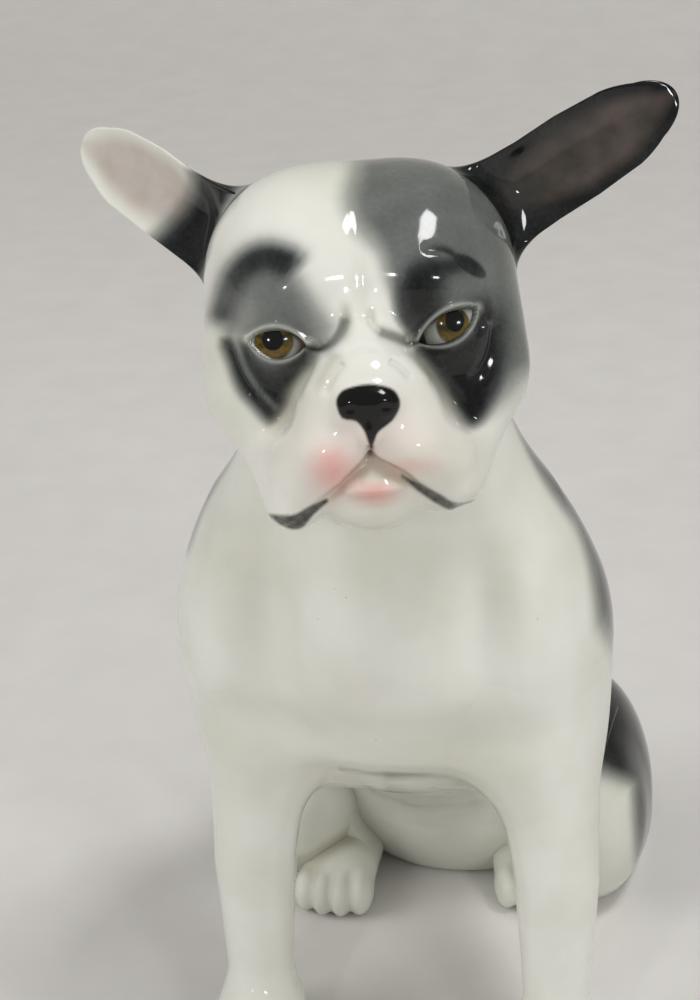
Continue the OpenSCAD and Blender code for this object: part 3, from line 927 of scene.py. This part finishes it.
def glaze(colours):
    """Glazed hard-paste porcelain, slip-cast, sprayed and brushed under a clear gloss glaze.

    The clear glaze gives sharp small highlights and faint waves, the body glows a little through it,
    and the sprayed slate has a fine grain and thins out to the white clay at its edges."""
    material, tree = blank("Glazed painted porcelain")
    at = add(tree, "ShaderNodeTexCoord").outputs["Object"]
    paint = {k: add(tree, "ShaderNodeAttribute", dict(attribute_name=k)).outputs["Fac"]
             for k in PAINTS}

    def noise(size_mm, detail=2.0):
        scale = 1 / (size_mm * MM)
        return add(tree, "ShaderNodeTexNoise", None, Vector=at, Scale=scale, Detail=detail).outputs["Fac"]

    def spread(value, low, high, to_low=0.0, to_high=1.0):
        ends = dict(i1=low, i2=high, i3=to_low, i4=to_high)
        return add(tree, "ShaderNodeMapRange", None, Value=value, **ends).outputs[0]

    def brushed(name, size_mm, detail=2.0):
        """A paint's density, uneven by a fifth."""
        return times(tree, paint[name], spread(noise(size_mm, detail), 0.2, 0.8, 0.8, 1.0))

    # white body: patches of a slightly darker white, painted shade in olive brown in creases and hollows,
    # blush, tinted ear
    clay = over(tree, tuple(colours.clay), linear("#CFD0C4"), spread(noise(22, 3), 0.35, 0.7))
    # painted shade: olive brown laid into creases and hollows
    clay = over(tree, clay, linear("#9A9678"), times(tree, paint["crease_shade"], 0.45))
    clay = over(tree, clay, tuple(colours.blush), brushed("rose", 1.6))
    taupe = over(tree, linear("#B4A79F"), linear("#BDB4AE"), spread(noise(5, 3), 0.4, 0.62))
    clay = over(tree, clay, taupe, times(tree, paint["taupe"], 0.85))

    # sprayed slate: a fine grain and slow clouds, from clear through grey to nearly black
    grain = spread(noise(0.7, 4), 0.25, 0.75, -0.035, 0.035)
    cloud = spread(noise(7, 2), 0.3, 0.7, -0.05, 0.05)
    grain = times(tree, plus(tree, grain, cloud), paint["slate"])
    spray = plus(tree, paint["slate"], grain, True)
    tone = add(tree, "ShaderNodeValToRGB", None, Fac=spray)
    ramp = tone.color_ramp
    ramp.elements[0].position, ramp.elements[0].color = 0.0, (1, 1, 1, 1)
    ramp.elements[1].position, ramp.elements[1].color = 1.0, tuple(colours.slate)
    for position, code in ((0.30, "#B9BBBB"), (0.62, "#75797B"), (0.84, "#3C4042")):
        ramp.elements.new(position).color = linear(code)
    colour = over(tree, clay, tone.outputs[0], 1.0, "MULTIPLY")

    # brushwork: the dark ear's inside, the mouth, the eyes, the nose, and a few kiln specks
    flesh = over(tree, linear("#3B3833"), linear("#544A46"), spread(noise(6, 3), 0.35, 0.65))
    colour = over(tree, colour, flesh, times(tree, paint["flesh"], 0.9))
    # the ink also carries the painted shadow under the upper lids
    colour = over(tree, colour, linear("#16170F"), brushed("ink", 1.1, 3))
    amber = over(tree, linear("#66501A"), linear("#2C2A12"), spread(noise(1.8, 3), 0.38, 0.6))
    colour = over(tree, colour, amber, paint["amber"])
    colour = over(tree, colour, linear("#07090C"), paint["pupil"])
    colour = over(tree, colour, linear("#050505"), paint["leather"])
    speck = add(tree, "ShaderNodeTexVoronoi", None, Vector=at, Scale=1 / (6 * MM)).outputs["Distance"]
    colour = over(tree, colour, linear("#4B4236"), spread(speck, 0.022, 0.014, 0.0, 0.75))

    # clear glaze: faint waves and slightly uneven gloss
    rough = spread(noise(9, 3), 0.3, 0.7, 0.07, 0.13)
    waves = plus(tree, noise(5.5, 1), times(tree, noise(0.9, 2), 0.08))
    bump = add(tree, "ShaderNodeBump", None, Strength=0.10, Distance=0.0006, Height=waves).outputs[0]
    shader = add(tree, "ShaderNodeBsdfPrincipled", None, Base_Color=colour, Roughness=rough, Normal=bump,
                 IOR=1.5, Specular_IOR_Level=0.34, Coat_Weight=0.08, Coat_Roughness=0.03,
                 Subsurface_Weight=0.10, Subsurface_Scale=0.0012, Subsurface_Radius=(1.0, 0.9, 0.75))
    add(tree, "ShaderNodeOutputMaterial", None, Surface=shader.outputs[0])
    return material


def paper(colours):
    """Matt white photographer's paper, rolled out in one sweep."""
    material, tree = blank("Matt backdrop paper")
    at = add(tree, "ShaderNodeTexCoord").outputs["Object"]
    fibre = add(tree, "ShaderNodeTexNoise", None, Vector=at, Scale=60.0, Detail=4.0).outputs["Fac"]
    tone = over(tree, tuple(colours.paper), linear("#C8C5C2"), times(tree, fibre, 0.5))
    shader = add(tree, "ShaderNodeBsdfPrincipled", None, Base_Color=tone, Roughness=0.6)
    add(tree, "ShaderNodeOutputMaterial", None, Surface=shader.outputs[0])
    return material


# ---------------------------------------------------------------- pieces

def place(piece, nodes):
    """Hands a finished piece to the frame in place of its castings."""
    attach(piece, "root")
    if nodes:
        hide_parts(*nodes)
    material = bpy.data.materials.get("Glazed painted porcelain")
    material = material or glaze(bpy.context.scene.figurine_colours)
    piece.data.materials.append(material)


def colour_property(name, description, code):
    """A colour that the sidebar can change, from its sRGB hex value."""
    return bpy.props.FloatVectorProperty(name=name, description=description, subtype="COLOR", size=4,
                                         min=0, max=1, default=linear(code))


class FigurineColours(bpy.types.PropertyGroup):
    clay: colour_property("Clay", "Glazed white body", "#DDDDD6")
    slate: colour_property("Slate", "Sprayed markings at their densest", "#0F1214")
    blush: colour_property("Blush", "Lips and cheeks", "#E09A94")
    paper: colour_property("Paper", "Floor and backdrop", "#E1DFDC")


class FigurineSizes(bpy.types.PropertyGroup):
    joint: bpy.props.FloatProperty(name="Joint fillet", description="Reach of the slip in a limb's joint",
                                   default=0.007, min=0.002, max=0.012, unit="LENGTH")
    eyeball: bpy.props.FloatProperty(name="Eyeball radius", description="Radius of the modelled eyeballs",
                                     default=0.006, min=0.005, max=0.007, unit="LENGTH")


class FIGURINE_OT_trunk(bpy.types.Operator):
    """Rump, loins, barrel and neck in one casting"""
    bl_idname = "figurine.trunk"
    bl_label = "Trunk"

    def execute(self, context):
        axis = curve([(0, 1, 15), (0, -5, 34), (0, -15, 54), (0, -28, 73), (0, -41, 91), (0.5, -52, 108),
                      (1.5, -60, 124), (2.6, -66, 136)], 210)
        grid = limb_grid(trunk_form, axis, 260, 26, 60)
        place(skin("trunk_glaze", [grid], finished(body_paint, trunk_form)), ["trunk"])
        return {"FINISHED"}


class FIGURINE_OT_head(bpy.types.Operator):
    """Head with brows, lids, muzzle, lips and nose"""
    bl_idname = "figurine.head"
    bl_label = "Head"

    def execute(self, context):
        rays = globe_rays(244, 400) @ HEAD_TURN.T
        starts = np.broadcast_to(from_head(np.array([0.3, -5.0, -1.0])), rays.shape)
        plain = cast(head_form, starts, rays, 45)
        grid = plain + face_detail(plain)[..., None] * rays
        place(skin("head_glaze", [grid], finished(head_paint, head_form)), ["head"])
        return {"FINISHED"}


class FIGURINE_OT_eyes(bpy.types.Operator):
    """Eyeballs behind the lids"""
    bl_idname = "figurine.eyes"
    bl_label = "Eyes"

    def execute(self, context):
        radius = context.scene.figurine_sizes.eyeball / MM
        for side, word in SIDES:
            globe = sphere(150, 280)[..., [1, 2, 0]] * [1, -1, 1]
            grid = from_head(np.asarray(EYES[side]["ball"]) + radius * globe)
            place(skin(f"eye_{word}", [grid], finished(eye_paint)), [])
        return {"FINISHED"}


class FIGURINE_OT_ears(bpy.types.Operator):
    """Two thin leaf-shaped ears"""
    bl_idname = "figurine.ears"
    bl_label = "Ears"

    def execute(self, context):
        for side, word in SIDES:
            grid = ear_surface(side, 200, 180)
            place(skin(f"ear_{word}_glaze", [grid], finished(ear_paint(side))), [f"ear_{word}"])
        return {"FINISHED"}


class FIGURINE_OT_forelegs(bpy.types.Operator):
    """Forelegs down to four toes"""
    bl_idname = "figurine.forelegs"
    bl_label = "Forelegs"

    def execute(self, context):
        for side, word in SIDES:
            x = LEG_X[side]
            form = partial(foreleg_form, side=side)
            axis = curve([(x, LEG_Y - 5.5, 5.0), (x, LEG_Y - 1.5, 13), (x, LEG_Y, 26), (x, LEG_Y + 1.5, 44),
                          (x - side * 2, LEG_Y + 4.5, 62), (x - side * 8, LEG_Y + 8, 82)], 170)
            grid = limb_grid(form, axis, 240, 36, 34)
            place(skin(f"foreleg_{word}_glaze", [grid], finished(None, form)), [f"foreleg_{word}"])
        return {"FINISHED"}


class FIGURINE_OT_hind_legs(bpy.types.Operator):
    """Folded thighs with the hind feet under them"""
    bl_idname = "figurine.hind_legs"
    bl_label = "Hind legs"

    def execute(self, context):
        for side, word in SIDES:
            thigh, foot = partial(haunch_form, side=side), partial(paw_form, side=side)
            turn, at = spin(2, HIND_PAW[side]["turn"]).T, np.array([*HIND_PAW[side]["at"], 0])
            axis = curve([(0, 2, 5.5), (0, -10, 5.5), (0, -23, 4.2)], 120) @ turn + at
            start, tip = np.array([(0, -2, 6), (0, -16, 6)]) @ turn + at
            grids = [blob_grid(thigh, (side * 30, -3, 18), 150, 200, 45), limb_grid(foot, axis, 160, 24, 20),
                     slip_grid(foot, thigh, start, tip, 6, 20)]
            paint = finished(haunch_paint, lambda p: weld(thigh(p), foot(p), 5))
            place(skin(f"hind_leg_{word}_glaze", grids, paint), [f"hind_leg_{word}"])
        return {"FINISHED"}


class FIGURINE_OT_tail(bpy.types.Operator):
    """Short curled tail"""
    bl_idname = "figurine.tail"
    bl_label = "Tail"

    def execute(self, context):
        grid = limb_grid(tail_form, tail_axis(60), 96, 20, 12)
        place(skin("tail_glaze", [grid], finished(tail_paint)), ["tail"])
        return {"FINISHED"}


def slip(name, limb, body, foot, tip, reach, wide, paint, tilt=34):
    """Makes one limb's slip and hands it to the frame in place of the cast one."""
    grid = slip_grid(limb, body, foot, tip, reach, wide, tilt)
    paint = finished(paint, lambda p: weld(limb(p), body(p), 2))
    place(skin(f"{name}_glaze", [grid], paint), [name])


class FIGURINE_OT_slips(bpy.types.Operator):
    """Fillets of slip that join every limb, both ears, the tail and the head"""
    bl_idname = "figurine.slips"
    bl_label = "Slip joints"

    def execute(self, context):
        joint = context.scene.figurine_sizes.joint / MM
        for side, word in SIDES:
            paint = finished(ear_root_paint(side), head_form)
            piece = skin(f"ear_{word}_slip_glaze", [ear_root_grid(side)], paint)
            place(piece, [f"ear_{word}_slip"])
        slip("neck_slip", trunk_form, head_form, (3, -72, 148), (1.5, -62, 118), joint * 1.2, 42,
             neck_paint, 50)
        root, _, tip = tail_axis(6)[:3]
        slip("tail_slip", tail_form, trunk_form, root + [0, -4, 0], tip, 5, 12, body_paint)
        for side, word in SIDES:
            slip(f"foreleg_{word}_slip", partial(foreleg_form, side=side), trunk_form,
                 (LEG_X[side] - side * 10, LEG_Y + 10, 102), (LEG_X[side], LEG_Y + 2, 44), joint * 1.2, 32,
                 body_paint)
            slip(f"hind_leg_{word}_slip", partial(haunch_form, side=side), trunk_form,
                 (side * 15, -1, 24), (side * 33, -2, 21), joint * 1.3, 44, flank_paint, 40)
        return {"FINISHED"}


def matrix(x, y, z, at):
    """A placing from three axes and a point."""
    return mathutils.Matrix([[x[i], y[i], z[i], at[i]] for i in range(3)] + [[0, 0, 0, 1]])


def sweep_mesh(half_width=9.0, front=-4.0, run=4.6, rise=4.4, bend=0.6, rows=80, columns=24):
    """Paper along the floor for a run, up through a quarter circle of radius bend, and up a wall. Its
    height is bend (1 - cos t), and its distance back is the run and bend sin t."""
    length = run + math.pi / 2 * bend + rise
    d = np.linspace(0, 1, rows) * length
    t = np.clip((d - run) / bend, 0, math.pi / 2)
    y = front + np.minimum(d, run) + bend * np.sin(t)
    z = bend * (1 - np.cos(t)) + np.maximum(d - run - math.pi / 2 * bend, 0)
    x, y = np.meshgrid(np.linspace(-half_width, half_width, columns), y)
    z = np.broadcast_to(z[:, None], x.shape)
    points = np.stack([x, y, z - 0.0001], axis=-1).reshape(-1, 3)
    i, j = np.meshgrid(np.arange(rows - 1), np.arange(columns - 1), indexing="ij")
    k = (i * columns + j).ravel()
    faces = np.stack([k, k + 1, k + columns + 1, k + columns], axis=-1)
    mesh = bpy.data.meshes.new("paper_sweep")
    mesh.from_pydata(points.tolist(), [], faces.tolist())
    mesh.polygons.foreach_set("use_smooth", np.ones(len(k), bool))
    return mesh


# Lamps: place and aim in metres, width and height, watts, and whether the glaze mirrors them. The two
# walls are large and soft, and the others give the glaze its small highlights.
LIGHTS = (
    ("Ceiling panel", (0.42, -0.20, 1.15), (0, -0.08, 0.15), (0.30, 0.24), 5.2, True),
    ("Side lamp", (0.62, -0.78, 0.50), (0, -0.08, 0.15), (0.14, 0.07), 1.3, True),
    ("Front lamp", (-0.20, -0.98, 0.50), (0, -0.08, 0.15), (0.05, 0.05), 1.0, True),
    ("Left wall", (-1.05, -0.55, 0.75), (0, -0.05, 0.1), (0.8, 0.8), 6.6, False),
    ("Right wall", (1.3, -0.5, 0.8), (0, -0.05, 0.1), (1.4, 1.0), 4.0, False),
)
CAMERA_TURN, CAMERA_RISE, CAMERA_ROLL = 14, 25, 3        # degrees
CAMERA_LOOKS_AT, CAMERA_AWAY = (-1.0, -76.0, 121.0), 376     # millimetres


class FIGURINE_OT_stage(bpy.types.Operator):
    """Paper sweep, soft lights and the camera"""
    bl_idname = "figurine.stage"
    bl_label = "Stage"

    def execute(self, context):
        scene = context.scene
        floor = bpy.data.objects.new("paper_sweep", sweep_mesh())
        floor.data.materials.append(paper(scene.figurine_colours))
        scene.collection.objects.link(floor)

        scene.view_settings.view_transform = "Standard"
        world = bpy.data.worlds.new("Studio")
        world.use_nodes = True
        world.node_tree.nodes["Background"].inputs[0].default_value = linear("#DAD8D4")
        world.node_tree.nodes["Background"].inputs[1].default_value = 0.50
        scene.world = world
        for name, at, to, size, power, mirrored in LIGHTS:
            light = bpy.data.lights.new(name, "AREA")
            light.shape, light.size, light.size_y, light.energy = "RECTANGLE", *size, power
            lamp = bpy.data.objects.new(name, light)
            lamp.visible_glossy = mirrored
            back = unit(np.array(at, float) - np.array(to, float))
            side = unit(np.cross([0.0, 0.0, 1.0], back) + np.array([1e-6, 0, 0]))
            lamp.matrix_world = matrix(side, np.cross(back, side), back, at)
            scene.collection.objects.link(lamp)

        turn, rise, roll = np.radians([CAMERA_TURN, CAMERA_RISE, CAMERA_ROLL])
        back = np.array([math.sin(turn) * math.cos(rise), -math.cos(turn) * math.cos(rise), math.sin(rise)])
        right = np.array([math.cos(turn), math.sin(turn), 0.0])
        up = np.cross(back, right)
        right, up = (right * math.cos(roll) - up * math.sin(roll),
                     up * math.cos(roll) + right * math.sin(roll))
        camera = bpy.data.objects.new("Camera", bpy.data.cameras.new("Camera"))
        camera.data.lens = 80
        camera.data.clip_start = 0.02
        where = (np.array(CAMERA_LOOKS_AT) + CAMERA_AWAY * back) * MM
        camera.matrix_world = matrix(right, up, back, where)
        scene.collection.objects.link(camera)
        scene.camera = camera
        return {"FINISHED"}


class FIGURINE_PT_panel(bpy.types.Panel):
    """Lists the sizes, colours and pieces"""
    bl_idname = "FIGURINE_PT_panel"
    bl_label = "Porcelain bulldog"
    bl_space_type = "VIEW_3D"
    bl_region_type = "UI"
    bl_category = "Figurine"

    def draw(self, context):
        for group in (context.scene.figurine_sizes, context.scene.figurine_colours):
            for key in group.__annotations__:
                self.layout.prop(group, key)
        for operator in OPERATORS:
            self.layout.operator(operator.bl_idname)


OPERATORS = (FIGURINE_OT_trunk, FIGURINE_OT_head, FIGURINE_OT_eyes, FIGURINE_OT_ears, FIGURINE_OT_forelegs,
             FIGURINE_OT_hind_legs, FIGURINE_OT_tail, FIGURINE_OT_slips, FIGURINE_OT_stage)
CLASSES = (FigurineColours, FigurineSizes, *OPERATORS, FIGURINE_PT_panel)


def register():
    """Registers the classes and hangs the sizes and colours on the scene."""
    for item in CLASSES:
        bpy.utils.register_class(item)
    bpy.types.Scene.figurine_colours = bpy.props.PointerProperty(type=FigurineColours)
    bpy.types.Scene.figurine_sizes = bpy.props.PointerProperty(type=FigurineSizes)


def unregister():
    """Takes away what register added."""
    del bpy.types.Scene.figurine_sizes
    del bpy.types.Scene.figurine_colours
    for item in reversed(CLASSES):
        bpy.utils.unregister_class(item)


def main():
    """Runs every operator in order."""
    register()
    for operator in OPERATORS:
        name = operator.bl_idname.split(".")[1]
        getattr(bpy.ops.figurine, name)()


if __name__ == "__main__":
    main()
